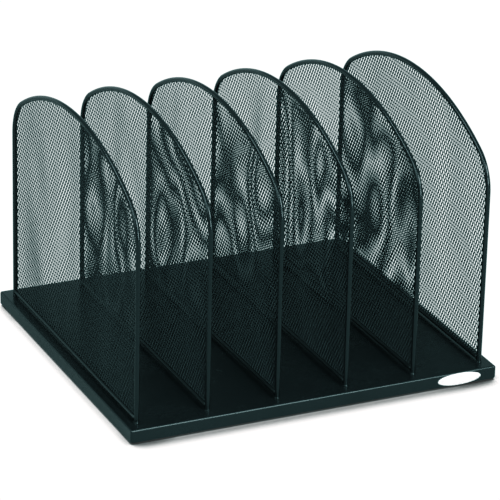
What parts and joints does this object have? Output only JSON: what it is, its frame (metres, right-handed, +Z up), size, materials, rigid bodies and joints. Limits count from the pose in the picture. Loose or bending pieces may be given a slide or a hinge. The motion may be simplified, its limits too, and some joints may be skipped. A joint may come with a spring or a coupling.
{
  "type": "desktop file sorter",
  "caption": "Desktop file sorter: arched wire dividers filled with steel mesh, standing in a row on a folded steel base with rubber feet.",
  "frame": {"origin": "middle of the whole sorter's footprint, on the surface it stands on", "axes": "+Z up, the front edge of the base faces -Y, +X runs along the row of dividers from left to right"},
  "size_m": [0.3174, 0.2858, 0.222],
  "materials": {
    "base_steel": "black powder coat, satin, on folded sheet steel",
    "wire_steel": "black powder coat, satin, on bent steel wire",
    "mesh_steel": "black powder coat, satin, on expanded steel mesh",
    "foot_rubber": "black rubber, matt",
    "badge_plastic": "white moulded plastic oval, blank, with a fine groove inside its edge"
  },
  "bodies": {
    "root": {"base_plate": "base_steel", "divider_1_frame": "wire_steel", "divider_1_rail": "wire_steel", "divider_1_mesh": "mesh_steel", "divider_2_frame": "wire_steel", "divider_2_rail": "wire_steel", "divider_2_mesh": "mesh_steel", "divider_3_frame": "wire_steel", "divider_3_rail": "wire_steel", "divider_3_mesh": "mesh_steel", "divider_4_frame": "wire_steel", "divider_4_rail": "wire_steel", "divider_4_mesh": "mesh_steel", "divider_5_frame": "wire_steel", "divider_5_rail": "wire_steel", "divider_5_mesh": "mesh_steel", "divider_6_frame": "wire_steel", "divider_6_rail": "wire_steel", "divider_6_mesh": "mesh_steel", "foot_front_left": "foot_rubber", "foot_front_right": "foot_rubber", "foot_back_left": "foot_rubber", "foot_back_right": "foot_rubber", "badge_blank": "badge_plastic"}
  },
  "joints": []
}
